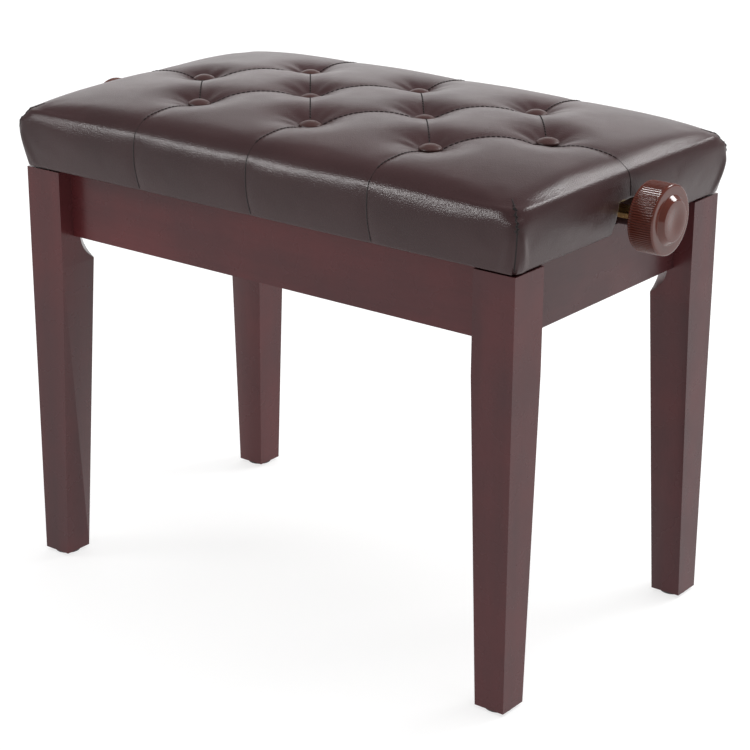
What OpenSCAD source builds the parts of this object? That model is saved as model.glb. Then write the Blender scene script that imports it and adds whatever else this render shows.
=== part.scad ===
// Adjustable piano bench. A tufted leather seat box stands on a four-legged wooden frame.
// A screw with a left-hand and a right-hand thread closes two pairs of crossed arms and lifts the seat.
// X runs along the bench, the front faces -Y, and the floor is at Z = 0.

/* [Frame] */
// Length across the outer faces of the legs
frame_len = 550; // [520:1:600]
// Depth across the outer faces of the legs
frame_depth = 322; // [310:1:360]
// Height of the leg and apron tops above the floor
frame_h = 392; // [360:1:430]
// Side of the square leg at its top
leg_top = 41; // [38:0.5:46]
// Side of the square leg at its foot
leg_foot = 29.5; // [24:0.5:36]
// Height at which the legs start to taper
leg_taper_z = 300; // [240:1:320]
// Height of the apron boards
apron_h = 64; // [60:1:80]
// Thickness of the apron boards
apron_t = 15; // [12:0.5:18]
// Set-back of the front and rear aprons from the outer leg faces
apron_inset_y = 16; // [10:0.5:18]
// Set-back of the side aprons from the outer leg faces
apron_inset_x = 18.5; // [12:0.5:22]

/* [Seat] */
// Gap between the frame and the closed seat box
seat_gap = 1.5; // [1:0.1:4]
// Thickness of the leather
leather_t = 1.5; // [1:0.1:2.5]
// Thickness of the seat box boards
box_t = 15; // [12:0.5:18]
// Outward bulge of the padded sides
side_bulge = 5.5; // [3:0.5:9]
// Height of the padded sides up to the rounded edge
side_h = 40; // [34:1:46]
// Radius of the padded edge round the top
edge_r = 22; // [16:1:26]
// Rise of the padding from the rounded edge to the middle
crown = 11; // [6:1:16]
// Distance between the buttons along the bench
button_pitch = 131; // [115:1:135]
// Distance between the button rows
row_pitch = 80; // [60:1:90]
// Diameter of a button
button_d = 20.5; // [18:0.5:28]

/* [Lift] */
// Travel of the seat
lift = 80; // [40:1:85]
// Distance between the end pivots of an arm
arm_len = 216; // [214:1:218]
// Width of an arm
arm_w = 15; // [12:0.5:15]
// Thickness of an arm
arm_t = 4; // [3:0.5:4]
// Distance of the outer pivots from the middle of the bench
pivot_x = 226; // [224:0.5:228]
// Height of the lower pivots above the frame top
pivot_rise = 3; // [2:0.5:4]
// Height of the screw above the frame top
screw_rise = 19; // [18.5:0.5:19.5]
// Diameter of the threaded spindle
spindle_d = 10; // [8:0.5:10]
// Width across the flats of the hexagonal shafts
hex_af = 10.4; // [9:0.1:11]

/* [Knobs] */
// Diameter of a knob
knob_d = 61; // [50:1:62]
// Thickness of the ribbed part of a knob
knob_t = 24; // [18:1:30]
// Distance from the middle of the bench to the inner face of a knob
knob_x = 296; // [294:1:310]
// Height of the raised centre of a knob
knob_boss = 4.5; // [2:0.5:6]

/* [Hidden] */
$fn = 48;

ENDS = [[-1, "left"], [1, "right"]];
SIDES = [[-1, "front"], [1, "rear"]];

WOOD = [0.30, 0.12, 0.10];
PALE_WOOD = [0.78, 0.62, 0.42];
LEATHER = [0.25, 0.19, 0.18];
STEEL = [0.62, 0.63, 0.65];
BLACK_STEEL = [0.12, 0.12, 0.13];

half_len = frame_len / 2;
half_depth = frame_depth / 2;
slack = 0.05;   // radial clearance of a screw in its hole
thin = 0.1;     // thickness of a slice used inside a hull

// Legs and glides
glide_h = 3;
glide_d = 26;
chamfer = 16.5 / sqrt(2);   // depth of the flat across a leg's inner corner
runout_r = 32;              // radius of the curve that ends this flat
runout_z = frame_h - apron_h - 2;

// Corner blocks and leg bolts
block_t = 22;
block_h = 40;
block_z = frame_h - 60;
block_gap = 1.8;
block_face = chamfer - block_gap;   // along the diagonal, from the leg's inner corner
bolt_r = 4;
bolt_z = block_z + block_h / 2;
screw_r = 2;
screw_head_r = 4;
screw_head_h = 2.6;
side_face = half_len - apron_inset_x - apron_t;     // inner face of a side apron
long_face = half_depth - apron_inset_y - apron_t;   // inner face of a long apron
block_screw_in = 19.5;      // distance of a block screw from the corner of the apron faces
block_screw_z = bolt_z + 13.5;
block_counterbore = 12;     // length of a block screw between its head and the apron

// Lift geometry: crossed arms turn from angle_low to angle_high as the seat rises
arm_half = arm_len / 2;
pivot_z = frame_h + pivot_rise;
screw_z = frame_h + screw_rise;
angle_low = asin((screw_z - pivot_z) / arm_half);
angle_high = asin(((screw_z - pivot_z) * 2 + lift) / arm_len);
upper_pivot_z = pivot_z + arm_len * sin(angle_low);
cross_x = pivot_x - arm_half * cos(angle_low);
inner_x_low = pivot_x - arm_len * cos(angle_low);
inner_x_high = pivot_x - arm_len * cos(angle_high);
pin_r = 4;
journal_r = 5;
play = 1;           // vertical play of the upper pins, for the arc of the arms
upper_slot_z = upper_pivot_z + play * 0.7;

// Layers from the front apron's inner face towards the middle, as distances from the centre plane
rail_t = 2.5;
rail_y = long_face;
washer_t = 3.5;
outer_arm_y = rail_y - rail_t - washer_t - 0.1;
inner_arm_y = outer_arm_y - arm_t - 0.3;
seat_rail_y = inner_arm_y - arm_t - 0.4;
base_rail_z = frame_h - 16;
base_rail_h = 28;
rail_screw_xs = [70, 150, 205];
rail_screw_z = frame_h - 8;
seat_screw_xs = [-210, -90, 0, 90, 210];
rail_flange = 22;
rail_half_len = pivot_x + 11;
seat_rail_h = 18.5;
seat_screw_y = seat_rail_y - rail_flange / 2 - 2;

// Seat box
box_z = frame_h + seat_gap + leather_t;
board_t = 10;
board_z = box_z + 41;
box_half_x = half_len - 1;
box_half_y = half_depth;
box_corner_r = 16;
notch_half = 21;
notch_top = screw_z + 16;
hem_w = 12;
cover_z = box_z - leather_t;
foam_z = board_z + board_t;
button_z = foam_z + 10;
edge_z = cover_z + side_h;

// Spindle
hex_r = hex_af / sqrt(3);
coupling_x = 158;
coupling_len = 36;
coupling_r = 9;
nut_half_x = 12;
knob_screw_in = 8;     // distance of a knob's grub screw from its inner face

module at_corner(sx, sy) {
    mirror([sx < 0 ? 1 : 0, 0, 0]) mirror([0, sy < 0 ? 1 : 0, 0]) children();
}

// A cylinder along X or Y that starts at the given point. A hexagon has flats above and below.
module rod_x(x, y, z, r, len, sides = 48) {
    translate([x, y, z]) rotate([0, 90, 0]) rotate(180 / sides) cylinder(r = r, h = len, $fn = sides);
}
module rod_y(x, y, z, r, len) {
    translate([x, y, z]) rotate([-90, 0, 0]) cylinder(r = r, h = len);
}

// Places children at a leg's inner corner, with +X along the diagonal into the leg
module on_diagonal() {
    translate([half_len - leg_top, half_depth - leg_top, 0]) rotate(45) children();
}

// Outline of one side of a leg: straight outside, straight then tapered inside
module leg_outline(outer) {
    polygon([
        [outer, glide_h], [outer, frame_h], [outer - leg_top, frame_h],
        [outer - leg_top, leg_taper_z], [outer - leg_foot, glide_h],
    ]);
}

module leg(sx, sy) {
    color(WOOD) at_corner(sx, sy) difference() {
        intersection() {
            translate([0, half_depth, 0]) rotate([90, 0, 0]) linear_extrude(leg_top) leg_outline(half_len);
            translate([half_len - leg_top, 0, 0]) rotate([90, 0, 90])
                linear_extrude(leg_top) leg_outline(half_depth);
        }
        on_diagonal() {
            translate([chamfer - 40, -40, runout_z]) cube([40, 80, frame_h]);
            translate([chamfer - runout_r, 0, runout_z]) rotate([90, 0, 0])
                cylinder(r = runout_r, h = 80, center = true);
            rod_x(0, 0, bolt_z, bolt_r + slack, chamfer + 26);
        }
        foot_centre() cylinder(r = 1.5 + slack, h = glide_h + 15);
    }
}

module foot_centre() {
    translate([half_len - leg_foot / 2, half_depth - leg_foot / 2, 0]) children();
}

module glides() {
    color([0.08, 0.08, 0.08]) for (sx = [-1, 1], sy = [-1, 1]) at_corner(sx, sy) foot_centre() {
        cylinder(r1 = glide_d / 2 - 1, r2 = glide_d / 2, h = glide_h);
        cylinder(r = 1.5, h = glide_h + 14);
    }
}

module apron_long(sy) {
    len = frame_len - 2 * leg_top;
    color(WOOD) at_corner(1, sy) difference() {
        translate([-len / 2, long_face, frame_h - apron_h]) cube([len, apron_t, apron_h]);
        for (sx = [-1, 1]) {
            rod_y(sx * (side_face - block_screw_in), long_face - 1, block_screw_z, screw_r + slack, 12);
            for (x = rail_screw_xs) rod_y(sx * x, rail_y - 1, rail_screw_z, screw_r + slack, 13);
        }
    }
}

module apron_short(sx) {
    len = frame_depth - 2 * leg_top;
    color(WOOD) at_corner(sx, 1) difference() {
        translate([side_face, -len / 2, frame_h - apron_h]) cube([apron_t, len, apron_h]);
        for (sy = [-1, 1])
            rod_x(side_face - 1, sy * (long_face - block_screw_in), block_screw_z, screw_r + slack, 12);
    }
}

module block_screw_axes() {
    translate([side_face - block_screw_in, long_face, block_screw_z]) rotate([90, 0, 0]) children();
    translate([side_face, long_face - block_screw_in, block_screw_z]) rotate([0, -90, 0]) children();
}

module corner_block(sx, sy) {
    color(PALE_WOOD) at_corner(sx, sy) difference() {
        intersection() {
            on_diagonal() translate([block_face - block_t, -40, block_z]) cube([block_t, 80, block_h]);
            translate([0, 0, block_z]) cube([side_face, long_face, block_h]);
        }
        on_diagonal() rod_x(block_face - block_t - 1, 0, bolt_z, bolt_r + slack, block_t + 2);
        block_screw_axes() {
            cylinder(r = screw_r + slack, h = 40);
            translate([0, 0, block_counterbore]) cylinder(r = screw_head_r + 0.5, h = 30);
        }
    }
}

module corner_block_screws() {
    color(STEEL) for (sx = [-1, 1], sy = [-1, 1]) at_corner(sx, sy) block_screw_axes() {
        translate([0, 0, -10]) cylinder(r = screw_r, h = 10 + block_counterbore);
        translate([0, 0, block_counterbore]) cylinder(r = screw_head_r, h = screw_head_h);
    }
}

module leg_bolts() {
    color(STEEL) for (sx = [-1, 1], sy = [-1, 1]) at_corner(sx, sy) on_diagonal()
        rod_x(block_face - block_t - 13, 0, bolt_z, bolt_r, block_t + 13 + block_gap + 25);
}

// Ring round each leg bolt, with its outer end at the given distance from the corner block
module bolt_rings(start, len, r, sides) {
    color(STEEL) for (sx = [-1, 1], sy = [-1, 1]) at_corner(sx, sy) on_diagonal() difference() {
        rod_x(block_face - block_t - start - len, 0, bolt_z, r, len, sides);
        rod_x(block_face - block_t - start - len - 1, 0, bolt_z, bolt_r + slack, len + 2);
    }
}
module leg_bolt_washers() bolt_rings(0, 1.6, 9, 48);
module leg_bolt_nuts() bolt_rings(1.6, 6.5, 7.5, 6);

// A slot along X between two centres, cut through a rail
module slot(x1, x2, z, r) {
    rod_y(x1, 0, z, r, half_depth);
    rod_y(x2, 0, z, r, half_depth);
    translate([x1, 0, z - r]) cube([x2 - x1, half_depth, 2 * r]);
}

module base_rail(sy) {
    color(BLACK_STEEL) at_corner(1, sy) difference() {
        translate([-rail_half_len, 0, base_rail_z]) {
            translate([0, rail_y - rail_t, 0]) cube([2 * rail_half_len, rail_t, base_rail_h]);
            translate([0, rail_y - rail_flange, 0]) cube([2 * rail_half_len, rail_flange, rail_t]);
        }
        for (sx = [-1, 1]) at_corner(sx, 1) {
            rod_y(pivot_x, 0, pivot_z, pin_r, half_depth);
            slot(inner_x_low, inner_x_high, pivot_z, pin_r + 0.3);
            for (x = rail_screw_xs) rod_y(x, rail_y - 10, rail_screw_z, screw_r + slack, 20);
        }
    }
}

module base_rail_screws() {
    color(STEEL) for (sx = [-1, 1], sy = [-1, 1], x = rail_screw_xs) at_corner(sx, sy) {
        rod_y(x, rail_y - rail_t, rail_screw_z, screw_r, 14);
        rod_y(x, rail_y - rail_t - screw_head_h, rail_screw_z, screw_head_r, screw_head_h);
    }
}

module base_pivot_pins() {
    inner_end = outer_arm_y - arm_t - 0.1;
    color(STEEL) for (sx = [-1, 1], sy = [-1, 1]) at_corner(sx, sy) {
        pin(pivot_x, pivot_z, inner_end, rail_y);
        rod_y(pivot_x, inner_end - 2, pivot_z, pin_r + 2.5, 2);
    }
}

module pivot_washers() {
    color(STEEL) for (sx = [-1, 1], sy = [-1, 1]) at_corner(sx, sy) difference() {
        rod_y(pivot_x, rail_y - rail_t - washer_t, pivot_z, 7, washer_t);
        rod_y(pivot_x, rail_y - 10, pivot_z, pin_r, 10);
    }
}

// What is cut away to round the vertical corners of the seat box
module box_corner_cuts() {
    for (sx = [-1, 1], sy = [-1, 1]) at_corner(sx, sy)
        translate([box_half_x - box_corner_r, box_half_y - box_corner_r, 0]) difference() {
            cube([box_corner_r + 1, box_corner_r + 1, button_z]);
            cylinder(r = box_corner_r, h = button_z);
        }
}

module box_long(sy) {
    color(PALE_WOOD) difference() {
        at_corner(1, sy) translate([-box_half_x, box_half_y - box_t, box_z])
            cube([2 * box_half_x, box_t, board_z - box_z]);
        box_corner_cuts();
    }
}

// Opening in the side of the seat box for the shaft, open at the bottom
module shaft_notch() {
    translate([half_len - 40, -notch_half, 0]) cube([80, 2 * notch_half, notch_top]);
}

module box_short(sx) {
    len = 2 * (box_half_y - box_t);
    color(PALE_WOOD) at_corner(sx, 1) difference() {
        translate([box_half_x - box_t, -len / 2, box_z]) cube([box_t, len, board_z - box_z]);
        shaft_notch();
    }
}

module at_buttons() {
    for (i = [-1.5:1.5]) translate([i * button_pitch, 0, 0]) children();
    for (i = [-1:1], sy = [-1, 1]) translate([i * button_pitch, sy * row_pitch, 0]) children();
}

module seat_board() {
    color(PALE_WOOD) difference() {
        translate([-box_half_x, -box_half_y, board_z]) cube([2 * box_half_x, 2 * box_half_y, board_t]);
        at_buttons() translate([0, 0, board_z - 1]) cylinder(r = 2, h = board_t + 2);
        for (x = seat_screw_xs, sy = [-1, 1])
            translate([x, sy * seat_screw_y, board_z - 1]) cylinder(r = screw_r + slack, h = 10);
        box_corner_cuts();
    }
}

// Slice of the padded seat, as a rounded rectangle pulled in from the widest outline
module padded_slice(z, inset, r) {
    hx = box_half_x + leather_t + side_bulge - inset - r;
    hy = box_half_y + leather_t + side_bulge - inset - r;
    for (sx = [-1, 1], sy = [-1, 1]) translate([sx * hx, sy * hy, z])
        cylinder(r = r, h = thin, $fn = 32);
}

// The whole padded seat, smaller by skin on every face
module padded_form(skin) {
    hull() {
        padded_slice(cover_z + skin, side_bulge + skin, 8);
        for (t = [0:15:75])
            padded_slice(edge_z + (edge_r - skin) * sin(t) - thin, skin + (edge_r - skin) * (1 - cos(t)), 18);
        padded_slice(edge_z + edge_r + crown - skin - thin, edge_r + 60, 40);
    }
}

// A block wider than the bench, used to cut at a level
module wide_block(z, h) {
    translate([-frame_len, -frame_depth, z]) cube([2 * frame_len, 2 * frame_depth, h]);
}

module foam_pad() {
    color([0.85, 0.80, 0.62]) difference() {
        intersection() {
            padded_form(leather_t);
            wide_block(foam_z, 60);
        }
        at_buttons() {
            translate([0, 0, button_z]) cylinder(r = button_d / 2 + 0.5, h = 40);
            translate([0, 0, foam_z - 1]) cylinder(r = 2, h = 40);
        }
    }
}

// Strips of padding on the outside of the box: a wedge that thickens upwards, with its back at X = 0
module padding_wedge(len) {
    top = side_h + 3;
    rotate([90, 0, 0]) translate([0, 0, -len / 2]) linear_extrude(len)
        polygon([[0, 6], [side_bulge * 0.86, side_h - 4], [side_bulge * 0.86, top], [0, top]]);
}

module side_padding() {
    bottom = box_z;
    side_len = box_half_y - notch_half - 12;
    color([0.85, 0.80, 0.62]) {
        for (sy = [-1, 1]) translate([0, sy * box_half_y, bottom]) rotate(sy * 90)
            padding_wedge(2 * box_half_x - 24);
        for (sx = [-1, 1], sy = [-1, 1]) at_corner(sx, 1)
            translate([box_half_x, sy * (notch_half + side_len / 2), bottom]) padding_wedge(side_len);
    }
}

module seat_cover() {
    color(LEATHER) difference() {
        padded_form(0);
        difference() {
            padded_form(leather_t);
            wide_block(0, box_z);
        }
        translate([-box_half_x + hem_w, -box_half_y + hem_w, 0])
            cube([2 * (box_half_x - hem_w), 2 * (box_half_y - hem_w), box_z + 1]);
        for (sx = [-1, 1]) at_corner(sx, 1) shaft_notch();
        at_buttons() translate([0, 0, button_z]) cylinder(r = button_d / 2 + 0.5, h = 40);
    }
}

module seat_buttons() {
    dome_r = 20;
    rim_h = 3;
    color([0.30, 0.20, 0.19]) at_buttons() translate([0, 0, button_z]) intersection() {
        cylinder(r = button_d / 2, h = 12);
        translate([0, 0, rim_h - sqrt(dome_r * dome_r - button_d * button_d / 4)]) sphere(r = dome_r);
    }
}

module button_ties() {
    color([0.9, 0.88, 0.8]) at_buttons() {
        translate([0, 0, board_z - 1.5]) cylinder(r = 1.5, h = button_z - board_z + 1.5);
        translate([0, 0, board_z - 1.5]) cylinder(r = 6, h = 1.5);
    }
}

module cover_staples() {
    staple = [10, 1, 0.6];
    y = box_half_y - hem_w / 2;
    x = box_half_x - hem_w / 2;
    color(STEEL) translate([0, 0, cover_z - staple.z]) for (s = [-1, 1]) {
        for (i = [-4:4]) translate([i * 56 - staple.x / 2, s * y - staple.y / 2, 0])
            cube(staple);
        for (i = [-2, -1, 1, 2]) translate([s * x + staple.y / 2, i * 50 - staple.x / 2, 0])
            rotate(90) cube(staple);
    }
}

module seat_rail(sy) {
    color(BLACK_STEEL) at_corner(1, sy) difference() {
        translate([-rail_half_len, 0, board_z]) {
            translate([0, seat_rail_y - rail_t, -seat_rail_h])
                cube([2 * rail_half_len, rail_t, seat_rail_h]);
            translate([0, seat_rail_y - rail_flange, -rail_t])
                cube([2 * rail_half_len, rail_flange, rail_t]);
        }
        for (sx = [-1, 1]) at_corner(sx, 1) {
            slot(pivot_x - 0.2, pivot_x + 0.2, upper_slot_z, pin_r + play);
            slot(inner_x_low, inner_x_high, upper_slot_z, pin_r + play);
        }
        for (x = seat_screw_xs)
            translate([x, seat_screw_y, board_z - 10]) cylinder(r = screw_r + slack, h = 12);
    }
}

module seat_rail_screws() {
    color(STEEL) for (x = seat_screw_xs, sy = [-1, 1]) translate([x, sy * seat_screw_y, board_z - rail_t]) {
        cylinder(r = screw_r, h = 11);
        translate([0, 0, -screw_head_h]) cylinder(r = screw_head_r, h = screw_head_h);
    }
}

// Flat bar with round ends, lying along X from its first pivot, with three holes
module arm_bar() {
    rotate([90, 0, 0]) linear_extrude(arm_t) difference() {
        union() {
            translate([0, -arm_w / 2]) square([arm_len, arm_w]);
            circle(r = arm_w / 2);
            translate([arm_len, 0]) circle(r = arm_w / 2);
        }
        circle(r = pin_r + 0.1);
        translate([arm_len / 2, 0]) circle(r = journal_r + 0.1);
        translate([arm_len, 0]) circle(r = pin_r);
    }
}

// An outer arm turns on the base rail at its lower end and slides in the seat rail at its upper end
module outer_arm(sx, sy) {
    color(BLACK_STEEL) at_corner(sx, sy)
        translate([pivot_x, outer_arm_y, pivot_z]) rotate([0, 180 + angle_low, 0]) arm_bar();
}

// An inner arm is pinned to the seat rail at its upper end and slides in the base rail at its lower end
module inner_arm(sx, sy) {
    color(BLACK_STEEL) at_corner(sx, sy) translate([pivot_x, inner_arm_y, upper_pivot_z])
        rotate([0, 180 - angle_low, 0]) arm_bar();
}

// Pin along Y between two layers
module pin(x, z, from_y, to_y) {
    rod_y(x, from_y, z, pin_r, to_y - from_y);
}

module outer_arm_pins(sx) {
    color(STEEL) for (sy = [-1, 1]) at_corner(sx, sy)
        pin(inner_x_low, upper_pivot_z, seat_rail_y - rail_t - 1, outer_arm_y);
}

module inner_arm_pins(sx) {
    color(STEEL) for (sy = [-1, 1]) at_corner(sx, sy) {
        pin(pivot_x, upper_pivot_z, seat_rail_y - rail_t - 1, inner_arm_y);
        pin(inner_x_low, pivot_z, inner_arm_y - arm_t, rail_y - 0.4);
    }
}

// Round bar through the crossings of the front and rear arms, with the nut in its middle
module nut_bar(sx) {
    end = outer_arm_y + 2.2;
    shoulder = seat_rail_y - rail_t - 4;
    color(STEEL) at_corner(sx, 1) difference() {
        union() {
            rod_y(cross_x, -end, screw_z, journal_r, 2 * end);
            rod_y(cross_x, -shoulder, screw_z, journal_r + 2, 2 * shoulder);
            translate([cross_x - nut_half_x, -14, screw_z - 11]) cube([2 * nut_half_x, 28, 22]);
        }
        rod_x(cross_x - 20, 0, screw_z, spindle_d / 2 + play, 40);
    }
}

module nut_bar_clips(sx) {
    color(STEEL) for (sy = [-1, 1]) at_corner(sx, sy) difference() {
        rod_y(cross_x, outer_arm_y + 0.2, screw_z, journal_r + 3, 1.2);
        rod_y(cross_x, outer_arm_y - 1, screw_z, journal_r, 4);
    }
}

module spindle() {
    len = coupling_x + coupling_len / 2;
    color(STEEL) rod_x(-len, 0, screw_z, spindle_d / 2, 2 * len);
}

module guard_tube() {
    len = 190;
    color([0.15, 0.15, 0.16]) difference() {
        rod_x(-len / 2, 0, screw_z, spindle_d / 2 + 2.5, len);
        rod_x(-len / 2 - 1, 0, screw_z, spindle_d / 2 + 0.1, len + 2);
    }
}

module hex_shafts() {
    start = coupling_x + coupling_len / 2;
    color([0.80, 0.66, 0.32]) for (sx = [-1, 1]) at_corner(sx, 1)
        rod_x(start, 0, screw_z, hex_r, knob_x + knob_t - 6 - start, 6);
}

module shaft_couplings() {
    mid = coupling_x + coupling_len / 2;
    color(STEEL) for (sx = [-1, 1]) at_corner(sx, 1) difference() {
        rod_x(coupling_x, 0, screw_z, coupling_r, coupling_len);
        rod_x(coupling_x - 1, 0, screw_z, spindle_d / 2, coupling_len / 2 + 1);
        rod_x(mid, 0, screw_z, hex_r, coupling_len, 6);
    }
}

module knob(sx) {
    r = knob_d / 2;
    color([0.34, 0.13, 0.10]) at_corner(sx, 1) translate([knob_x, 0, screw_z]) difference() {
        rotate([0, 90, 0]) rotate_extrude($fn = 96) polygon([
            [0, 0], [r - 2, 0], [r, 2], [r, knob_t - 2], [r - 2, knob_t], [23, knob_t],
            [18, knob_t + knob_boss], [0, knob_t + knob_boss],
        ]);
        rod_x(-1, 0, 0, hex_r, knob_t - 5, 6);
        knob_screw(0, knob_d);
    }
}

// Grub screw below the shaft, in a hole that runs out through the rim
module knob_screw(start, len) {
    translate([knob_screw_in, 0, -start - len]) cylinder(r = screw_r, h = len);
}

module knob_screws() {
    color(STEEL) for (sx = [-1, 1]) at_corner(sx, 1)
        translate([knob_x, 0, screw_z]) knob_screw(hex_af / 2, 12);
}

for (e = ENDS, s = SIDES) {
    leg(e[0], s[0]);
    corner_block(e[0], s[0]);
    outer_arm(e[0], s[0]);
    inner_arm(e[0], s[0]);
}
for (s = SIDES) {
    apron_long(s[0]);
    base_rail(s[0]);
    box_long(s[0]);
    seat_rail(s[0]);
}
for (e = ENDS) {
    apron_short(e[0]);
    box_short(e[0]);
    outer_arm_pins(e[0]);
    inner_arm_pins(e[0]);
    nut_bar(e[0]);
    nut_bar_clips(e[0]);
    knob(e[0]);
}
glides();
corner_block_screws();
leg_bolts();
leg_bolt_washers();
leg_bolt_nuts();
base_rail_screws();
base_pivot_pins();
pivot_washers();
seat_board();
foam_pad();
side_padding();
seat_cover();
seat_buttons();
button_ties();
cover_staples();
seat_rail_screws();
spindle();
guard_tube();
hex_shafts();
shaft_couplings();
knob_screws();
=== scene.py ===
"""Looks of the adjustable piano bench: tufted leather seat, lacquered frame, ribbed knobs and steel lift."""

import math

import bmesh
import bpy
import numpy as np
from mathutils import Euler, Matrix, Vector
from mathutils.bvhtree import BVHTree


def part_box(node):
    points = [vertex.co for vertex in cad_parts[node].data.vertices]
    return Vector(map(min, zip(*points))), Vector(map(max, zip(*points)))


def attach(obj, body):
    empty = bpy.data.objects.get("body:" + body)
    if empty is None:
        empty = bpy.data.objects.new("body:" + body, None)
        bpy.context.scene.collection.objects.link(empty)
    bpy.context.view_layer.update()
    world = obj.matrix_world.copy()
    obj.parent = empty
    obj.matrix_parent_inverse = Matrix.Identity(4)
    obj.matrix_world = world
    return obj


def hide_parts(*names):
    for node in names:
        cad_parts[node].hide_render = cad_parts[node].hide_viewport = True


MM = 0.001

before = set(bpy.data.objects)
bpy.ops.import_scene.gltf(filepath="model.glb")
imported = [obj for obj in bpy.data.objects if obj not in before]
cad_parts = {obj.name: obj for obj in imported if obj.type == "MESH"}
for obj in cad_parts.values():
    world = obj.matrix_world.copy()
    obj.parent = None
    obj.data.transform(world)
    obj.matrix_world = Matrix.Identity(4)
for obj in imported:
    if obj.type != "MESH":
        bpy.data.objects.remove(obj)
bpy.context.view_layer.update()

# Driving places, all read from the frame
cover_low, cover_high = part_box("seat_cover")
board_low, board_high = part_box("seat_board")
button_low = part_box("seat_buttons")[0]
knob_low, knob_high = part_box("knob_right")
shaft_low, shaft_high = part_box("hex_shafts")

HALF_X = cover_high.x
HALF_Y = cover_high.y
COVER_BOTTOM = cover_low.z
SCREW_Z = (knob_low.z + knob_high.z) / 2
KNOB_R = (knob_high.z - knob_low.z) / 2
KNOB_HOLE_R = (shaft_high.y - shaft_low.y) / 2

# Openings in the leather for the two shafts
NOTCH_HALF = 18 * MM
NOTCH_TOP = SCREW_Z + 11 * MM

BUTTON_R = 10.25 * MM
BUTTON_Z = button_low.z
BUTTON_PITCH = 131 * MM
ROW_PITCH = 80 * MM


# ---------------------------------------------------------------- helpers

def add_mesh(name, verts, faces):
    mesh = bpy.data.meshes.new(name)
    mesh.from_pydata([tuple(v) for v in verts], [], [tuple(f) for f in faces])
    mesh.update()
    mesh.polygons.foreach_set("use_smooth", [True] * len(mesh.polygons))
    obj = bpy.data.objects.new(name, mesh)
    bpy.context.scene.collection.objects.link(obj)
    return obj


def smoothstep(low, high, value):
    t = np.clip((value - low) / (high - low), 0, 1)
    return t * t * (3 - 2 * t)


def fade(near, far, distance):
    """One up to near and zero from far on. near and far are in mm, distance in metres."""
    return 1 - smoothstep(near * MM, far * MM, distance)


def add_modifier(obj, kind, **settings):
    modifier = obj.modifiers.new(kind.lower(), kind)
    for key, value in settings.items():
        setattr(modifier, key, value)
    return modifier


def give(obj, material):
    obj.data.materials.clear()
    obj.data.materials.append(material)
    return obj


# ---------------------------------------------------------------- materials

class Shader:
    """A node material with short calls for the nodes that are used here."""

    def __init__(self, name, color, roughness, **settings):
        self.material = bpy.data.materials.new(name)
        self.material.use_nodes = True
        self.tree = self.material.node_tree
        self.bsdf = self.tree.nodes["Principled BSDF"]
        self.set("Base Color", (*color, 1))
        self.set("Roughness", roughness)
        for key, value in settings.items():
            self.set(key.replace("_", " "), value)
        self.place = self.tree.nodes.new("ShaderNodeTexCoord").outputs["Object"]

    def set(self, socket, value):
        self.bsdf.inputs[socket].default_value = value

    def link(self, source, target):
        self.tree.links.new(source, target)

    def node(self, kind, **inputs):
        made = self.tree.nodes.new("ShaderNode" + kind)
        for key, value in inputs.items():
            socket = made.inputs[key.replace("_", " ")]
            if isinstance(value, bpy.types.NodeSocket):
                self.link(value, socket)
            else:
                socket.default_value = value
        return made

    def scaled(self, x, y, z):
        return self.node("Mapping", Vector=self.place, Scale=(x, y, z)).outputs["Vector"]

    def noise(self, vector, scale, detail=4.0, roughness=0.5, distortion=0.0):
        made = self.node("TexNoise", Vector=vector, Scale=scale, Detail=detail,
                         Roughness=roughness, Distortion=distortion)
        return made.outputs["Fac"]

    def cells(self, vector, scale):
        made = self.node("TexVoronoi", Vector=vector, Scale=scale)
        made.feature = "SMOOTH_F1"
        return made.outputs["Distance"]

    def ramp(self, value, *stops):
        made = self.node("ValToRGB", Fac=value)
        elements = made.color_ramp.elements
        while len(elements) < len(stops):
            elements.new(0.5)
        for element, (position, color) in zip(elements, stops):
            element.position = position
            element.color = (*color, 1)
        return made.outputs["Color"]

    def remap(self, value, low, high, to_low, to_high):
        made = self.node("MapRange", Value=value, From_Min=low, From_Max=high,
                         To_Min=to_low, To_Max=to_high)
        return made.outputs["Result"]

    def mixed(self, factor, a, b, blend="MIX"):
        made = self.tree.nodes.new("ShaderNodeMix")
        made.data_type = "RGBA"
        made.blend_type = blend
        for socket, value in ((made.inputs[0], factor), (made.inputs[6], a), (made.inputs[7], b)):
            if isinstance(value, bpy.types.NodeSocket):
                self.link(value, socket)
            elif isinstance(value, (int, float)):
                socket.default_value = value
            else:
                socket.default_value = (*value, 1)
        return made.outputs[2]

    def bump(self, *layers):
        """Each layer is (height, strength, distance in metres)."""
        normal = None
        for height, strength, distance in layers:
            made = self.node("Bump", Height=height, Strength=strength, Distance=distance)
            if normal is not None:
                self.link(normal, made.inputs["Normal"])
            normal = made.outputs["Normal"]
        self.link(normal, self.bsdf.inputs["Normal"])


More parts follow.
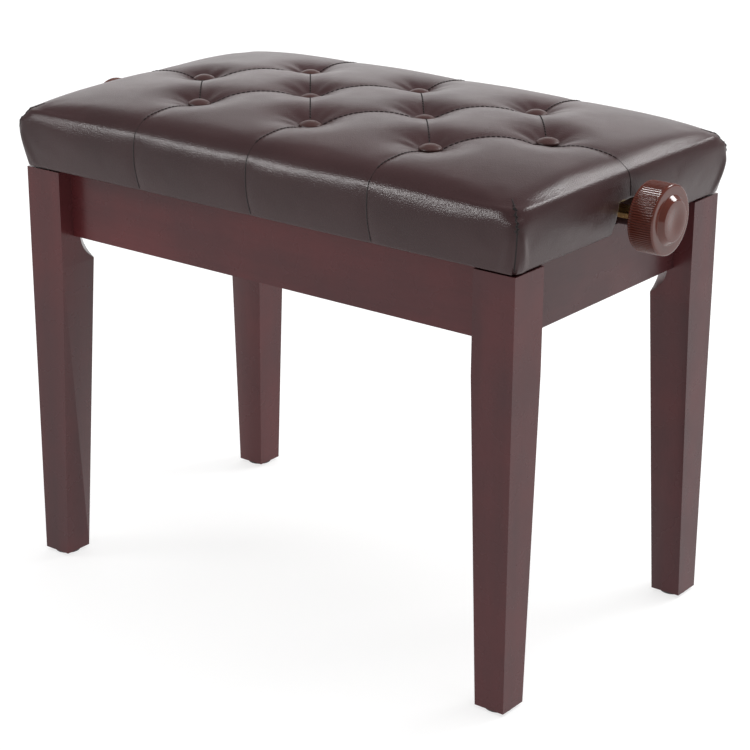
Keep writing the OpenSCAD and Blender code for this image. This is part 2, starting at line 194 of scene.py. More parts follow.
def leather(name, dark, light, roughness):
    """Coated leather: soft colour clouds, fine creases and a pebble grain of about 1 mm."""
    s = Shader(name, dark, roughness, Specular_IOR_Level=0.24,
               Sheen_Weight=0.03, Sheen_Roughness=0.4)
    s.set("Sheen Tint", (0.9, 0.7, 0.65, 1))
    soft = s.noise(s.place, 14, detail=3)
    s.link(s.ramp(soft, (0.35, dark), (0.7, light)), s.bsdf.inputs["Base Color"])
    shifted = s.node("VectorMath", Vector=s.place)
    shifted.operation = "ADD"
    wander = s.node("TexNoise", Vector=s.place, Scale=500)
    spread = s.node("VectorMath", Vector=wander.outputs["Color"])
    spread.operation = "SCALE"
    spread.inputs["Scale"].default_value = 0.6 * MM
    s.link(spread.outputs["Vector"], shifted.inputs[1])
    pebbles = s.cells(shifted.outputs["Vector"], 1100)
    creases = s.noise(s.place, 800, detail=3, roughness=0.6)
    s.link(s.remap(s.noise(s.place, 60, detail=2), 0.3, 0.7, roughness - 0.015, roughness + 0.02),
           s.bsdf.inputs["Roughness"])
    s.bump((creases, 0.25, 0.12 * MM), (pebbles, 0.9, 0.20 * MM))
    return s.material


def lacquered_wood(name, along, red=1.0):
    """Dark red-brown lacquer over wood whose grain runs along one axis."""
    stretch = [6.0, 6.0, 6.0]
    stretch["xyz".index(along)] = 0.5
    s = Shader(name, (0.07, 0.019, 0.02), 0.25, Specular_IOR_Level=0.28)
    white = (1, 1, 1)
    figure = s.noise(s.scaled(*stretch), 6, detail=3, roughness=0.5)
    cloud = s.noise(s.place, 11, detail=3)
    pores = s.noise(s.scaled(*[v * 2 for v in stretch]), 60, detail=2)
    tone = s.ramp(figure, (0.3, (0.061 * red, 0.020, 0.022)), (0.5, (0.075 * red, 0.022, 0.024)),
                  (0.75, (0.088 * red, 0.024, 0.026)))
    patch = s.ramp(cloud, (0.38, (0.85, 0.95, 0.97)), (0.62, (1.12, 1.0, 1.0)))
    dark = s.ramp(pores, (0.30, (0.9, 0.88, 0.88)), (0.5, white))
    grained = s.mixed(0.7, tone, dark, "MULTIPLY")
    s.link(s.mixed(1.0, grained, patch, "MULTIPLY"), s.bsdf.inputs["Base Color"])
    s.link(s.remap(s.noise(s.place, 25, detail=4), 0.3, 0.7, 0.22, 0.32), s.bsdf.inputs["Roughness"])
    s.bump((s.noise(s.place, 30, detail=1), 0.12, 0.5 * MM), (pores, 0.03, 0.03 * MM))
    return s.material


def raw_wood(name, along):
    stretch = [5.0, 5.0, 5.0]
    stretch["xyz".index(along)] = 0.4
    s = Shader(name, (0.45, 0.30, 0.16), 0.7)
    figure = s.noise(s.scaled(*stretch), 12, detail=6, roughness=0.65, distortion=0.8)
    s.link(s.ramp(figure, (0.3, (0.40, 0.25, 0.13)), (0.7, (0.58, 0.41, 0.24))),
           s.bsdf.inputs["Base Color"])
    s.bump((figure, 0.25, 0.3 * MM))
    return s.material


def metal(name, color, roughness, scratch=0.08):
    s = Shader(name, color, roughness, Metallic=1.0)
    worn = s.noise(s.scaled(1, 8, 8), 40, detail=5, roughness=0.6)
    s.link(s.remap(worn, 0.3, 0.7, roughness - scratch, roughness + scratch), s.bsdf.inputs["Roughness"])
    s.link(s.ramp(s.noise(s.place, 90, detail=3), (0.3, [c * 0.8 for c in color]), (0.7, color)),
           s.bsdf.inputs["Base Color"])
    s.bump((worn, 0.08, 0.1 * MM))
    return s.material


def powder_coat(name, color):
    s = Shader(name, color, 0.5)
    s.bump((s.noise(s.place, 700, detail=2), 0.3, 0.2 * MM))
    s.link(s.ramp(s.noise(s.place, 30, detail=4), (0.3, color), (0.8, [c * 1.6 for c in color])),
           s.bsdf.inputs["Base Color"])
    return s.material


def moulded_plastic(name, color, roughness):
    s = Shader(name, color, roughness, Specular_IOR_Level=0.5)
    s.link(s.ramp(s.noise(s.place, 35, detail=2), (0.3, [c * 0.9 for c in color]), (0.7, color)),
           s.bsdf.inputs["Base Color"])
    s.link(s.remap(s.noise(s.place, 120, detail=3), 0.3, 0.7, roughness - 0.02, roughness + 0.04),
           s.bsdf.inputs["Roughness"])
    s.bump((s.noise(s.place, 260, detail=2), 0.05, 0.15 * MM))
    return s.material


def thread(name, color):
    s = Shader(name, color, 0.75)
    s.bump((s.noise(s.scaled(900, 900, 900), 1, detail=2), 0.4, 0.1 * MM))
    return s.material


def floor_material():
    s = Shader("pale_floor", (0.3, 0.3, 0.3), 0.9, Specular_IOR_Level=0.0)
    s.set("Emission Color", (1, 1, 1, 1))
    s.set("Emission Strength", 0.74)
    return s.material


MATERIALS = {
    "leather": leather("leather", (0.038, 0.018, 0.019), (0.048, 0.023, 0.024), 0.29),
    "button": leather("button_leather", (0.052, 0.024, 0.023), (0.062, 0.029, 0.027), 0.36),
    "wood_x": lacquered_wood("lacquer_along_x", "x", red=1.32),
    "wood_y": lacquered_wood("lacquer_along_y", "y"),
    "wood_z": lacquered_wood("lacquer_along_z", "z", red=1.1),
    "raw_x": raw_wood("raw_wood_x", "x"),
    # the seat box boards are darkened to paint the shade inside the shaft notches
    "shade_box_x": lacquered_wood("painted_shade_box_x", "x", red=0.35),
    "shade_box_y": lacquered_wood("painted_shade_box_y", "y", red=0.35),
    "steel": metal("zinc_steel", (0.62, 0.63, 0.65), 0.32),
    "yellow_zinc": metal("yellow_zinc", (0.72, 0.53, 0.22), 0.28),
    "black_steel": powder_coat("black_powder_coat", (0.012, 0.012, 0.013)),
    "knob": moulded_plastic("knob_plastic", (0.105, 0.022, 0.013), 0.11),
    "black_plastic": moulded_plastic("black_plastic", (0.012, 0.012, 0.012), 0.45),
    "crease": leather("seam_leather", (0.022, 0.011, 0.012), (0.028, 0.014, 0.015), 0.5),
    "thread": thread("dark_thread", (0.010, 0.006, 0.006)),
    "cord": thread("pale_cord", (0.75, 0.70, 0.58)),
}


# ---------------------------------------------------------------- tufting

def button_places():
    middle = [(i * BUTTON_PITCH, 0.0) for i in (-1.5, -0.5, 0.5, 1.5)]
    outer = [(i * BUTTON_PITCH, side * ROW_PITCH) for side in (-1, 1) for i in (-1, 0, 1)]
    return middle + outer


BUTTONS = button_places()


def inner_seams():
    """Seams between neighbouring buttons of different rows."""
    reach = math.hypot(BUTTON_PITCH / 2, ROW_PITCH) * 1.01
    return [(a, b) for i, a in enumerate(BUTTONS) for b in BUTTONS[i + 1:]
            if a[1] != b[1] and math.dist(a, b) < reach]


def edge_seams():
    """Seams from the outer buttons straight to the nearest edge of the seat."""
    made = [(b, (b[0], math.copysign(HALF_Y, b[1]))) for b in BUTTONS if b[1]]
    made += [(b, (math.copysign(HALF_X, b[0]), 0.0)) for b in BUTTONS if abs(b[0]) > 1.4 * BUTTON_PITCH]
    return made


def along_segment(x, y, a, b):
    """Share along a segment and distance from it, for arrays of points."""
    dx, dy = b[0] - a[0], b[1] - a[1]
    t = np.clip(((x - a[0]) * dx + (y - a[1]) * dy) / (dx * dx + dy * dy), 0, 1)
    return t, np.hypot(x - a[0] - t * dx, y - a[1] - t * dy)


CROWN = 14.0              # rise of the padding in the middle of the seat, mm
DIMPLE_WIDE = (8.4, 26)   # depth and radius of the wide part of a button's dimple, mm
DIMPLE_NARROW = (2.4, 14)
FOLD = 0.7                # height of the small folds that run out from a button, mm


def bell(distance, depth, radius):
    return depth * np.exp(-(distance / radius) ** 2)


def tuft_height(x, y):
    """Height of the tufted top above the plain rounded box, in metres. The terms are in mm."""
    u, v = np.abs(x) / HALF_X, np.abs(y) / HALF_Y
    edge_drop = 2 * u ** 6 + 3.5 * (u * v) ** 4 + 3.0 * (u * v) ** 3
    crown = (CROWN * (1 - u ** 3.5) * (1 - v ** 2.5) - edge_drop) * MM
    dimple = np.zeros(x.shape)
    for i, (bx, by) in enumerate(BUTTONS):
        d = np.hypot(x - bx, y - by) / MM
        turn = np.arctan2(y - by, x - bx)
        folds = FOLD * np.cos(7 * turn + 1.7 * i) * np.cos(2 * turn + 0.9 * i)
        ring = smoothstep(10, 15, d) * np.exp(-((d - 14) / 13) ** 2)
        dimple = np.maximum(dimple, bell(d, *DIMPLE_WIDE) + bell(d, *DIMPLE_NARROW) + folds * ring)
    groove = np.zeros(x.shape)
    for a, b in inner_seams():
        far = along_segment(x, y, a, b)[1] / MM
        groove = np.maximum(groove, 1.3 * np.exp(-far / 5) + bell(far, 0.9, 16))
    for a, b in edge_seams():
        t, far = along_segment(x, y, a, b)
        groove = np.maximum(groove, (1.6 - 0.7 * t) * np.exp(-far / MM / 6))
    uneven = 0.35 * np.sin(x / MM / 23 + 1.3) * np.sin(y / MM / 17 + 0.4)
    return crown - (dimple + groove + uneven) * MM


def side_groove(along, seams, depth=0.9 * MM, width=6 * MM):
    """Depth of the shallow vertical grooves in a side face."""
    groove = np.zeros(along.shape)
    for place in seams:
        groove = np.maximum(groove, depth * np.exp(-np.abs(along - place) / width))
    return groove


# ---------------------------------------------------------------- leather cover

CELL = 3.0 * MM
EDGE_R = 21 * MM
EDGE_TOP = cover_high.z - 11 * MM     # level of the plain top before crown and tufts
SHOULDER = 0.430                      # height where the sides start to lean in
LEAN = 6.5 * MM                       # how far the hem lies inside the shoulder
SWELL = 1.2 * MM
SIDE_FOLD = (2.2 * MM, 0.8 * MM)      # depth of the folds beside the corners, on the ends and long sides
CORNER_PINCH = 2.2 * MM
PINCH_WIDTH = 2.6 * MM
CORNER_POWER = 8                      # how square the vertical corners are in plan
RELAX_STEPS = 14


def box_grid():
    """Closed grid of the top and four sides of a box, as points in -1..1 with the true cell size."""
    nx = round(2 * HALF_X / CELL / 2) * 2
    ny = round(2 * HALF_Y / CELL / 2) * 2
    nz = round((EDGE_TOP - COVER_BOTTOM) / CELL)
    xs = np.linspace(-HALF_X, HALF_X, nx + 1)
    ys = np.linspace(-HALF_Y, HALF_Y, ny + 1)
    zs = np.linspace(EDGE_TOP, COVER_BOTTOM, nz + 1)
    index, verts, faces = {}, [], []

    def vertex(point):
        key = tuple(round(c / (0.01 * MM)) for c in point)
        if key not in index:
            index[key] = len(verts)
            verts.append(point)
        return index[key]

    def patch(rows):
        ids = [[vertex(p) for p in row] for row in rows]
        for r0, r1 in zip(ids, ids[1:]):
            for i in range(len(r0) - 1):
                faces.append((r0[i], r0[i + 1], r1[i + 1], r1[i]))

    patch([[(x, y, EDGE_TOP) for x in xs] for y in ys])
    patch([[(x, -HALF_Y, z) for x in xs] for z in zs[::-1]])
    patch([[(x, HALF_Y, z) for x in xs] for z in zs])
    patch([[(HALF_X, y, z) for y in ys] for z in zs[::-1]])
    patch([[(-HALF_X, y, z) for y in ys] for z in zs])
    return np.array(verts), faces


def relax(points, faces, weight, steps):
    """Evens out the points with a weight, each towards the mean of its neighbours."""
    quads = np.array(faces)
    ends = np.concatenate([quads[:, [i, (i + 1) % 4]] for i in range(4)])
    ends = np.concatenate([ends, ends[:, ::-1]])
    count = np.bincount(ends[:, 0], minlength=len(points))[:, None]
    for _ in range(steps):
        total = np.zeros(points.shape)
        np.add.at(total, ends[:, 0], points[ends[:, 1]])
        points = points + 0.5 * weight[:, None] * (total / np.maximum(count, 1) - points)
    return points


def shape_cover(p):
    """Bends the box grid into the padded seat."""
    core = np.array([HALF_X, HALF_Y, EDGE_TOP]) - EDGE_R
    inner = np.stack([np.clip(p[:, 0], -core[0], core[0]), np.clip(p[:, 1], -core[1], core[1]),
                      np.minimum(p[:, 2], core[2])], 1)
    v = (p - inner) / EDGE_R
    near_x, near_y = np.abs(v[:, 0]), np.abs(v[:, 1])
    plan = (near_x ** CORNER_POWER + near_y ** CORNER_POWER) ** (1 / CORNER_POWER)
    v /= np.maximum(np.hypot(plan, v[:, 2]), 1e-9)[:, None]
    out = inner + v * EDGE_R
    on_top = smoothstep(0, 0.8, v[:, 2])
    out[:, 2] += on_top * tuft_height(out[:, 0], out[:, 1])
    # the corner seams are drawn in, on the top as well as down the sides
    both = np.minimum(near_x, near_y)
    pinch = np.exp(-np.abs(near_x - near_y) * EDGE_R / PINCH_WIDTH) * smoothstep(0.1, 0.9, both)
    out[:, 2] -= CORNER_PINCH * pinch * on_top
    down = np.clip((SHOULDER - out[:, 2]) / (SHOULDER - COVER_BOTTOM), 0, 1)
    lean = LEAN * down ** 1.5
    long_side_seams = [i * BUTTON_PITCH for i in (-1, 0, 1)]
    for axis, other, far, seams in ((0, 1, HALF_Y, [0.0]), (1, 0, HALF_X, long_side_seams)):
        along = out[:, other]
        facing = np.abs(v[:, axis])
        from_corner = far - np.abs(along)
        middle = np.sqrt(np.maximum(np.cos(along / far * math.pi / 2), 0))
        swell = SWELL * np.sin(down * math.pi) * middle
        fold = bell(from_corner - (5 + 13 * down) * MM, SIDE_FOLD[axis] * np.sin(0.3 + down * 2.4), 3.5 * MM)
        pull = lean + side_groove(along, seams) - swell - fold + 1.5 * MM * pinch
        out[:, axis] -= np.sign(p[:, axis]) * pull * (1 - on_top) * smoothstep(0.55, 0.9, facing)
    from_edge = np.minimum(HALF_X - np.abs(p[:, 0]), HALF_Y - np.abs(p[:, 1]))
    rim = fade(8, 42, from_edge) * smoothstep(core[2] - 12 * MM, core[2], p[:, 2])
    return out, rim * (1 - 0.8 * pinch)


def keep_above_board(points):
    """Lifts the leather off the seat board where the padding is thin."""
    corner = 15 * MM        # radius of the board's rounded corners, with a little to spare
    past_x = np.maximum(np.abs(points[:, 0]) - board_high.x + corner, 0)
    past_y = np.maximum(np.abs(points[:, 1]) - board_high.y + corner, 0)
    over = fade(0.5, 7, np.hypot(past_x, past_y) - corner)
    over *= smoothstep(board_low.z - 6 * MM, board_low.z, points[:, 2])
    gap = 1.2 * MM
    above = points[:, 2] - board_high.z - gap
    lifted = gap * np.logaddexp(0, above / gap)
    points[:, 2] += over * (lifted - above)
    return points


def make_cover():
    grid, faces = box_grid()
    centres = np.array([grid[list(f)].mean(0) for f in faces])
    in_notch = (np.abs(centres[:, 1]) < NOTCH_HALF) & (centres[:, 2] < NOTCH_TOP) & \
        (np.abs(centres[:, 0]) > HALF_X - MM)
    kept = [f for f, hidden in zip(faces, in_notch) if not hidden]
    shape, rim = shape_cover(grid)
    shape = keep_above_board(relax(shape, faces, rim, RELAX_STEPS))
    shape = relax(shape, faces, rim, 3)      # softens what the lift has bent
    cover = add_mesh("leather_cover", shape, kept)
    clean_and_hem(cover)
    return cover


def clean_and_hem(obj):
    """Removes loose points and turns the lower border under the seat box and into the shaft notches."""
    bm = bmesh.new()
    bm.from_mesh(obj.data)
    bmesh.ops.delete(bm, geom=[v for v in bm.verts if not v.link_faces], context="VERTS")
    bmesh.ops.recalc_face_normals(bm, faces=bm.faces)
    for inward, lift in ((1.2 * MM, -0.3 * MM), (8 * MM, 0), (14 * MM, 0)):
        border = [e for e in bm.edges if e.is_boundary]
        made = bmesh.ops.extrude_edge_only(bm, edges=border)
        for v in (g for g in made["geom"] if isinstance(g, bmesh.types.BMVert)):
            notch = abs(v.co.y) < NOTCH_HALF + CELL and abs(v.co.x) > HALF_X - 40 * MM and \
                v.co.z > COVER_BOTTOM + CELL
            if notch:
                v.co.x -= math.copysign(inward, v.co.x)
            else:
                v.co.x -= inward * v.co.x / HALF_X
                v.co.y -= inward * v.co.y / HALF_Y
                v.co.z += lift
    bmesh.ops.recalc_face_normals(bm, faces=bm.faces)
    bm.to_mesh(obj.data)
    bm.free()
    obj.data.polygons.foreach_set("use_smooth", [True] * len(obj.data.polygons))


def hold_weights(points):
    """How firmly each point is held: fully at the hem and the buttons, partly along the seams."""
    x, y, z = points[:, 0], points[:, 1], points[:, 2]
    top = smoothstep(EDGE_TOP - 24 * MM, EDGE_TOP - 14 * MM, z)
    held = fade(5, 20, z - COVER_BOTTOM)
    for bx, by in BUTTONS:
        held = np.maximum(held, top * fade(10, 13, np.hypot(x - bx, y - by)))
    for a, b in inner_seams() + edge_seams():
        far = along_segment(x, y, a, b)[1]
        held = np.maximum(held, 0.9 * fade(1, 3.2, far))
    from_corner = np.maximum(HALF_X - np.abs(x), HALF_Y - np.abs(y))
    held = np.maximum(held, fade(10, 22, from_corner))
    from_notch = np.maximum(np.abs(y) - NOTCH_HALF, z - NOTCH_TOP)
    return np.maximum(held, (np.abs(x) > HALF_X - 30 * MM) * fade(4, 12, from_notch))


def read_vertices(mesh, field):
    values = np.empty(len(mesh.vertices) * 3)
    mesh.vertices.foreach_get(field, values)
    return values.reshape(-1, 3)


def settle_fabric(obj, steps=16, cap=1.6 * MM):
    """Cloth pass: the padding presses the leather out between its seams. The result goes to the mesh."""
    points = read_vertices(obj.data, "co")
    copy = obj.copy()
    copy.data = obj.data.copy()
    bpy.context.scene.collection.objects.link(copy)
    group = copy.vertex_groups.new(name="held")
    for i, weight in enumerate(hold_weights(points)):
        if weight > 0.01:
            group.add([i], float(weight), "REPLACE")
    cloth = add_modifier(copy, "CLOTH")
    settings = cloth.settings
    settings.quality = 4
    settings.mass = 0.3
    settings.tension_stiffness = settings.compression_stiffness = 20
    settings.shear_stiffness = 8
    settings.bending_stiffness = 6.0
    settings.shrink_min = -0.001
    settings.use_pressure = True
    settings.uniform_pressure_force = 4
    settings.vertex_group_mass = "held"
    settings.effector_weights.gravity = 0
    cloth.collision_settings.use_collision = False
    cloth.point_cache.frame_start = 1
    cloth.point_cache.frame_end = steps
    for step in range(1, steps + 1):
        bpy.context.scene.frame_set(step)
    evaluated = copy.evaluated_get(bpy.context.evaluated_depsgraph_get())
    shift = read_vertices(evaluated.data, "co") - points
    normals = read_vertices(obj.data, "normal")
    outward = np.sum(shift * normals, axis=1)
    shift = normals * (cap * np.tanh(np.maximum(outward, -0.1 * MM) / cap))[:, None]
    quads = [tuple(face.vertices) for face in obj.data.polygons]
    shift = relax(shift, quads, np.ones(len(points)), 4)
    obj.data.vertices.foreach_set("co", (points + shift).ravel())
    obj.data.update()
    bpy.data.objects.remove(copy)
    bpy.context.scene.frame_set(1)


cover = make_cover()
settle_fabric(cover)
give(cover, MATERIALS["leather"])
add_modifier(cover, "SUBSURF", levels=1, render_levels=1)
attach(cover, "seat")
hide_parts("seat_cover", "foam_pad", "side_padding")


# ---------------------------------------------------------------- seams on the cover

def surface_finder(obj):
    """Function that drops a ray on the final surface of an object and gives the point and the normal."""
    bpy.context.view_layer.update()
    evaluated = obj.evaluated_get(bpy.context.evaluated_depsgraph_get())
    tree = BVHTree.FromObject(evaluated, bpy.context.evaluated_depsgraph_get())

    def find(start, direction):
        point, normal, _, _ = tree.ray_cast(Vector(start), Vector(direction))
        return point, normal
    return find


find_surface = surface_finder(cover)

CORNERS = [(sx, sy) for sx in (-1, 1) for sy in (-1, 1)]
CREASE_R = 0.26 * MM      # radius of the thin line where a seam closes


def top_path(a, b, step):
    """Points on the leather between two places of the top, as (point, normal)."""
    count = max(2, round(math.dist(a, b) / step))
    path = []
    for i in range(count + 1):
        t = i / count
        x, y = a[0] + (b[0] - a[0]) * t, a[1] + (b[1] - a[1]) * t
        hit = find_surface((x, y, 1.0), (0, 0, -1))
        if hit[0] is not None:
            path.append(hit)
    return path


def side_path(place, outward, step, low, high):
    """Points down a side face. outward is the face's normal and place its point at Z = 0."""
    path = []
    for z in np.arange(high, low, -step):
        start = Vector(place) + Vector(outward) * 0.1
        start.z = z
        hit = find_surface(start, -Vector(outward))
        if hit[0] is not None:
            path.append(hit)
    return path


def corner_path(sx, sy):
    """Points down a vertical corner, from a little way in on the top to the hem."""
    outward = Vector((sx, sy, 0)).normalized()
    starts = [((sx * (HALF_X - back * MM), sy * (HALF_Y - (back + 0.03) * MM), 1.0), (0, 0, -1))
              for back in (20, 17, 14, 11, 8)]
    for z in np.arange(EDGE_TOP - 9 * MM, COVER_BOTTOM + 1.5 * MM, -2 * MM):
        starts.append((Vector((sx * HALF_X, sy * HALF_Y, z)) + outward * 0.05, -outward))
    hits = [find_surface(*start) for start in starts]
    return [hit for hit in hits if hit[0] is not None]


def edge_path(a, b, step):
    """Points from a button over the rounded edge and down the side, where b lies on the edge."""
    outward = Vector((b[0] - a[0], b[1] - a[1], 0)).normalized()
    inset = 24 * MM
    path = top_path(*shorten(a, b, BUTTON_R * 0.8, inset), step)
    pivot = Vector((b[0], b[1], EDGE_TOP - 15 * MM)) - outward * inset
    for angle in np.radians(np.arange(86, 2, -5)):
        toward = outward * math.cos(angle) + Vector((0, 0, math.sin(angle)))
        hit = find_surface(pivot + toward * 0.1, -toward)
        if hit[0] is not None:
            path.append(hit)
    low = NOTCH_TOP + 3 * MM if abs(outward.x) > 0.5 else COVER_BOTTOM + 1.5 * MM
    return path + side_path((b[0], b[1], 0), outward, step, low, EDGE_TOP - 18 * MM)


def directions(path, i):
    """Unit vectors along a path and across it, at its point i."""
    ahead = (path[min(i + 1, len(path) - 1)][0] - path[max(i - 1, 0)][0]).normalized()
    return ahead, ahead.cross(path[i][1]).normalized()


def tube_along(path, radius, sink=0.0):
    """Thin tube along a path of (point, normal). The radius is one number or one for each point."""
    verts, faces = [], []
    sides = 6
    radii = np.broadcast_to(radius, len(path))
    for i, (point, normal) in enumerate(path):
        across = directions(path, i)[1]
        centre = point - normal * sink
        for k in range(sides):
            angle = 2 * math.pi * k / sides
            spoke = across * math.cos(angle) + normal * math.sin(angle)
            verts.append(centre + spoke * float(radii[i]))
    for i in range(len(path) - 1):
        for k in range(sides):
            j = (k + 1) % sides
            faces.append((i * sides + k, i * sides + j, (i + 1) * sides + j, (i + 1) * sides + k))
    first, last = range(sides), range((len(path) - 1) * sides, len(path) * sides)
    faces += [tuple(reversed(first)), tuple(last)]
    return verts, faces


def join_parts(name, parts):
    verts, faces = [], []
    for part_verts, part_faces in parts:
        start = len(verts)
        verts += part_verts
        faces += [tuple(i + start for i in f) for f in part_faces]
    return add_mesh(name, verts, faces)


def shorten(a, b, start, end=0.0):
    """The segment from a to b without its first and last lengths."""
    length = math.dist(a, b)
    ux, uy = (b[0] - a[0]) / length, (b[1] - a[1]) / length
    return (a[0] + ux * start, a[1] + uy * start), (b[0] - ux * end, b[1] - uy * end)


def make_stitches():
    """Short threads laid end to end along every seam of the top."""
    pitch, length, radius = 4.6 * MM, 2.9 * MM, 0.6 * MM
    parts = []
    seams = [shorten(a, b, BUTTON_R, BUTTON_R) for a, b in inner_seams()]
    seams += [shorten(a, b, BUTTON_R, 12 * MM) for a, b in edge_seams()]
    for a, b in seams:
        count = int(math.dist(a, b) / pitch)
        for i in range(count):
            start = shorten(a, b, i * pitch)[0]
            stop = shorten(a, b, i * pitch + length)[0]
            path = top_path(start, stop, length / 3)
            if len(path) > 2:
                parts.append(tube_along(path, radius, sink=-0.15 * MM))
    return join_parts("seam_stitches", parts)


def make_gathers():
    """Short irregular stitches that gather the leather at the top of each corner."""
    parts = []
    for sx, sy in CORNERS:
        path = corner_path(sx, sy)[2:14]
        for i, (point, normal) in enumerate(path):
            ahead, across = directions(path, i)
            lean = ahead * (0.9 * MM * (-1) ** i)
            reach = (1.4 + 0.5 * math.sin(2.7 * i)) * MM
            ends = [(point - across * reach - lean, normal), (point + normal * 0.3 * MM, normal),
                    (point + across * reach + lean, normal)]
            parts.append(tube_along(ends, 0.45 * MM))
    return join_parts("corner_gathers", parts)


def make_creases():
    """The closed lines of the seams between the buttons."""
    parts = []
    for a, b in inner_seams():
        path = top_path(*shorten(a, b, BUTTON_R * 0.8, BUTTON_R * 0.8), 2 * MM)
        parts.append(tube_along(path, CREASE_R, sink=0.05 * MM))
    return join_parts("top_creases", parts)


def make_side_seams():
    """The seams that run over the edge and down the sides, and those of the four corners."""
    parts = []
    for a, b in edge_seams():
        path = edge_path(a, b, 2 * MM)
        level = np.array([point.z for point, _ in path])
        widen = 1 - smoothstep(EDGE_TOP - 12 * MM, EDGE_TOP - 3 * MM, level)
        parts.append(tube_along(path, CREASE_R * (1 + widen), sink=0.05 * MM))
    for sx, sy in CORNERS:
        parts.append(tube_along(corner_path(sx, sy), 0.6 * MM, sink=0.1 * MM))
    return join_parts("side_seams", parts)


for piece, material in ((make_stitches(), "thread"), (make_gathers(), "thread"),
                        (make_creases(), "crease"), (make_side_seams(), "thread")):
    give(piece, MATERIALS[material])
    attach(piece, "seat")


# ---------------------------------------------------------------- lathe pieces

def lathe(name, profile, turns, centre, axis="z", radius_at=None):
    """Revolves (radius, height) points round Z or X. radius_at changes the radius by height and angle."""
    verts, faces = [], []
    count = len(profile)
    for k in range(turns):
        angle = 2 * math.pi * k / turns
        for r, h in profile:
            if radius_at:
                r = radius_at(r, h, angle)
            a, b = r * math.cos(angle), r * math.sin(angle)
            point = (a, b, h) if axis == "z" else (h, a, b)
            verts.append(Vector(point) + Vector(centre))
    for k in range(turns):
        n = (k + 1) % turns
        for i in range(count - 1):
            faces.append((k * count + i, n * count + i, n * count + i + 1, k * count + i + 1))
    obj = add_mesh(name, verts, faces)
    bm = bmesh.new()
    bm.from_mesh(obj.data)
    bmesh.ops.remove_doubles(bm, verts=bm.verts, dist=0.005 * MM)
    bmesh.ops.recalc_face_normals(bm, faces=bm.faces)
    bm.to_mesh(obj.data)
    bm.free()
    return obj


def arc(centre_r, centre_h, radius, start, stop, steps):
    """Profile points on an arc, with angles in degrees."""
    angles = np.radians(np.linspace(start, stop, steps + 1))
    return [(centre_r + radius * math.cos(t), centre_h + radius * math.sin(t)) for t in angles]


def make_buttons():
    """Ten covered buttons, each a full dome with a tucked rim."""
    parts = []
    for i, (bx, by) in enumerate(BUTTONS):
        profile = [(0.0005 * MM, 0), (8.4 * MM, 0)]
        profile += arc(8.5 * MM, 1.7 * MM, 1.7 * MM, -80, 50, 6)
        profile += [(r * MM, (6.0 - 3.0 * (r / 9.7) ** 2.2) * MM) for r in (8.5, 7, 5, 3.5, 2, 0.001)]
        parts.append(lathe(f"covered_button_{i}", profile, 48, (bx, by, BUTTON_Z)))
    return parts


for piece in make_buttons():
    give(piece, MATERIALS["button"])
    add_modifier(piece, "SUBSURF", levels=1, render_levels=1)
    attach(piece, "seat")
    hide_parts("seat_buttons")


KNOB_RIBS = 88
KNOB_FACE = 24 * MM       # distance from the back of the knob to its front face


def rib(r, h, angle):
    """Ribs round the rim, which fade out at both faces and towards the middle."""
    depth = 0.8 * MM * smoothstep(KNOB_R - 2.5 * MM, KNOB_R - 0.4 * MM, r)
    between = smoothstep(1.2 * MM, 2.4 * MM, h) * smoothstep(1.0 * MM, 2.2 * MM, KNOB_FACE - h)
    wave = 0.5 - 0.5 * math.cos(angle * KNOB_RIBS)
    return r - depth * between * (1 - smoothstep(0.15, 0.62, wave))


def make_knob(side):
    """Ribbed knob with a raised, chamfered middle that is slightly hollow."""
    rim, face, hole = KNOB_R, KNOB_FACE, KNOB_HOLE_R
    soft = 1.8 * MM
    profile = [(hole, 0.4 * MM), (hole, 0), (rim - 3 * MM, 0)]
    profile += arc(rim - soft, soft, soft, -90, 0, 5)
    profile += [(rim, h * MM) for h in (2.6, 4, 12, 20, 21.4)]
    profile += arc(rim - soft, face - soft, soft, 0, 90, 6)
    profile += [(r * MM, face) for r in (26.5, 23, 22)]
    profile += arc(21.8 * MM, face + 0.6 * MM, 0.6 * MM, -90, -150, 3)
    profile += [(18.2 * MM, face + 3.8 * MM)]
    profile += arc(17.2 * MM, face + 3.5 * MM, 1.0 * MM, 30, 90, 4)
    profile += [(r * MM, face + (4.5 - 1.2 * (1 - (r / 14) ** 2) ** 2) * MM)
                for r in (14, 12, 9, 6, 3, 0.001)]
    knob = lathe(f"ribbed_knob_{side}", profile, KNOB_RIBS * 8, (0, 0, 0), axis="x", radius_at=rib)
    mirror = -1 if side == "left" else 1
    for v in knob.data.vertices:
        v.co.x = mirror * (v.co.x + knob_low.x)
        v.co.z += SCREW_Z
    if mirror < 0:
        knob.data.flip_normals()
    return knob


for side in ("left", "right"):
    piece = make_knob(side)
    give(piece, MATERIALS["knob"])
    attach(piece, "screw")
    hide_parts(f"knob_{side}")


# ---------------------------------------------------------------- CAD nodes

NODE_LOOKS = {
    "leg_": "wood_z", "apron_front": "wood_x", "apron_rear": "wood_x", "apron_": "wood_y",
    "corner_block_screws": "steel", "corner_block_": "raw_x",
    # the seat box takes the darkened wood, painted shade for the inside of the shaft notches
    "box_front": "shade_box_x", "box_rear": "shade_box_x", "box_": "shade_box_y",
    "seat_board": "raw_x", "glides": "black_plastic",
    "base_rail_screws": "steel", "seat_rail_screws": "steel", "base_rail_": "black_steel",
    "seat_rail_": "black_steel", "outer_arm_pins": "steel", "inner_arm_pins": "steel",
    "outer_arm_": "black_steel", "inner_arm_": "black_steel", "hex_shafts": "yellow_zinc",
    "guard_tube": "black_plastic", "button_ties": "cord", "leg_bolt": "steel",
}
BEVELS = {"leg_": 1.4, "apron_": 1.0, "box_": 0.8, "corner_block_": 1.0, "seat_board": 0.6}


def longest_match(name, table, default=None):
    matches = [key for key in table if name.startswith(key)]
    return table[max(matches, key=len)] if matches else default


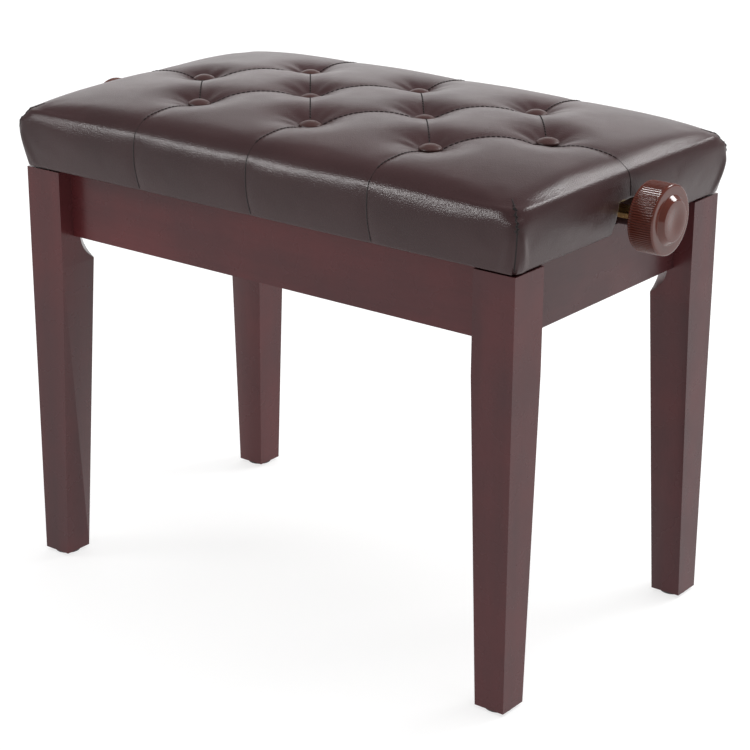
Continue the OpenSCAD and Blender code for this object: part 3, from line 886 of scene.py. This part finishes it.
for name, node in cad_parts.items():
    if node.hide_render:
        continue
    give(node, MATERIALS[longest_match(name, NODE_LOOKS, "steel")])
    width = longest_match(name, BEVELS, 0.3)
    add_modifier(node, "WELD", merge_threshold=0.01 * MM)
    add_modifier(node, "BEVEL", width=width * MM, segments=3, limit_method="ANGLE",
                 angle_limit=math.radians(35), harden_normals=True)


# ---------------------------------------------------------------- stage

SEAT_MIDDLE = (0, 0, 0.43)
FLOOR_HALF = 30
CAMERA_PLACE = (1.190, -1.527, 0.916)
CAMERA_LENS = 104.8
CAMERA_AZIMUTH, CAMERA_ELEVATION, CAMERA_ROLL = 37.66, 20.27, 0.31    # degrees


def make_camera():
    camera = bpy.data.objects.new("camera", bpy.data.cameras.new("camera"))
    camera.data.lens = CAMERA_LENS
    camera.data.sensor_width = 36
    camera.location = CAMERA_PLACE
    aim = (math.radians(90 - CAMERA_ELEVATION), 0, math.radians(CAMERA_AZIMUTH))
    turn = Euler(aim, "XYZ").to_matrix()
    camera.rotation_euler = (turn @ Euler((0, 0, math.radians(CAMERA_ROLL))).to_matrix()).to_euler()
    bpy.context.scene.collection.objects.link(camera)
    bpy.context.scene.camera = camera


def add_softbox(name, place, size, power, glossy=True, diffuse=True):
    """Rectangular light that faces the seat. It may be left out of reflections or of the diffuse light."""
    light = bpy.data.lights.new(name, "AREA")
    light.shape = "RECTANGLE"
    light.size, light.size_y = size
    light.energy = power
    obj = bpy.data.objects.new(name, light)
    obj.location = place
    obj.rotation_euler = (Vector(SEAT_MIDDLE) - Vector(place)).to_track_quat("-Z", "Y").to_euler()
    obj.visible_glossy = glossy
    obj.visible_diffuse = diffuse
    bpy.context.scene.collection.objects.link(obj)


def add_sun(direction, strength, angle):
    light = bpy.data.lights.new("sky_panel", "SUN")
    light.energy = strength
    light.angle = math.radians(angle)
    obj = bpy.data.objects.new("sky_panel", light)
    obj.rotation_euler = Vector(direction).to_track_quat("Z", "Y").to_euler()
    obj.visible_glossy = False
    bpy.context.scene.collection.objects.link(obj)


def make_stage():
    corners = [(x * FLOOR_HALF, y * FLOOR_HALF, 0) for x, y in ((-1, -1), (1, -1), (1, 1), (-1, 1))]
    floor = add_mesh("floor", corners, [(0, 1, 2, 3)])
    give(floor, floor_material())
    world = bpy.data.worlds.new("studio")
    world.use_nodes = True
    background = world.node_tree.nodes["Background"]
    background.inputs["Color"].default_value = (1, 1, 1, 1)
    background.inputs["Strength"].default_value = 0.3
    bpy.context.scene.world = world
    add_softbox("upper_left", (-1.32, -1.10, 1.82), (0.55, 1.25), 10, glossy=False)
    add_softbox("low_left", (-1.02, -1.52, 1.11), (0.85, 0.30), 28, diffuse=False)
    add_softbox("back_right", (0.77, 1.63, 1.68), (0.8, 0.6), 22)
    add_softbox("backdrop", (-1.90, 2.47, 1.12), (3.6, 1.3), 16)
    add_sun((0.1, 0.2, 1), 2.4, 60)
    bpy.context.scene.view_settings.view_transform = "Standard"


make_camera()
make_stage()
